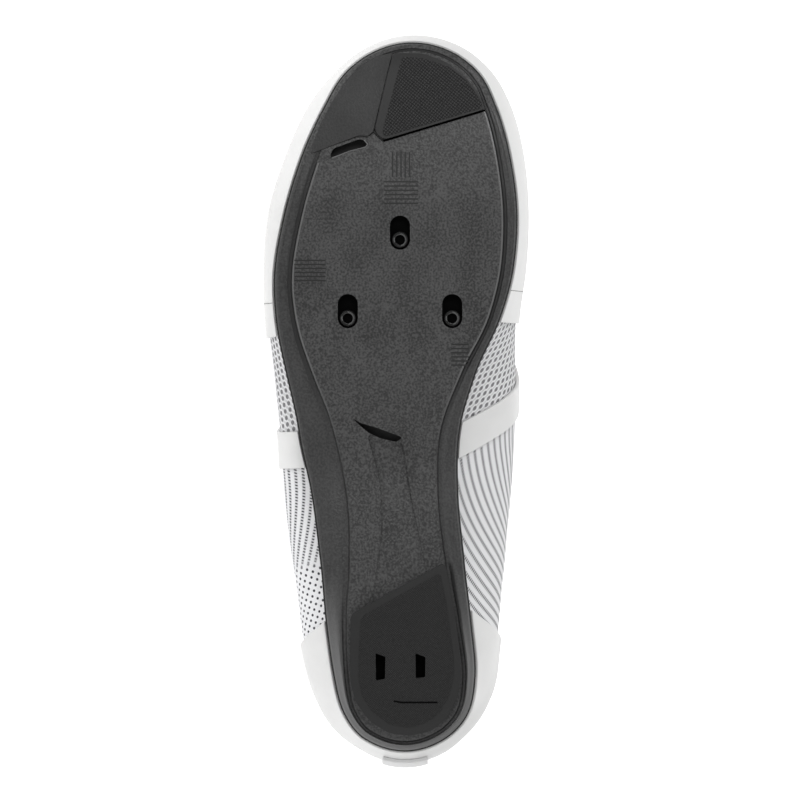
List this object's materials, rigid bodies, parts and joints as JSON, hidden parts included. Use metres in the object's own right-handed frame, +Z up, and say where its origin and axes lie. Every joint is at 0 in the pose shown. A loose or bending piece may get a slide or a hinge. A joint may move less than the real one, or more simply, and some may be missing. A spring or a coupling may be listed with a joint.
{
  "type": "cycling shoe",
  "caption": "Right road cycling shoe with a stiff slotted sole, rubber pads and a hollow knitted upper closed by straps, lying on its outer side.",
  "frame": {"origin": "centre of the shoe's box on the floor, with the shoe lying on its outer side", "axes": "+X towards the heel, +Y towards the collar, +Z up, which is the shoe's inner side; the sole faces -Y"},
  "size_m": [0.2892, 0.1236, 0.1067],
  "materials": {
    "composite": "dark grey fibre composite, satin, faint mottle",
    "nut_steel": "blackened steel",
    "pad_rubber": "matt black rubber with a fine knurl",
    "lining": "grey textile over foam",
    "knit": "white knit bonded with polymer film, grey yarn marks",
    "film": "light grey satin polymer film",
    "strap": "light grey synthetic strap"
  },
  "bodies": {
    "root": {"outsole": "composite", "cleat_nut_front": "nut_steel", "cleat_nut_lateral": "nut_steel", "cleat_nut_medial": "nut_steel", "toe_pad": "pad_rubber", "heel_pad": "pad_rubber", "insole": "lining", "upper": "knit", "rand": "film", "heel_counter": "film", "heel_tab": "film", "band_lateral": "film", "band_medial": "film", "strap_instep": "strap", "strap_ankle": "strap", "tongue": "knit"}
  },
  "joints": []
}
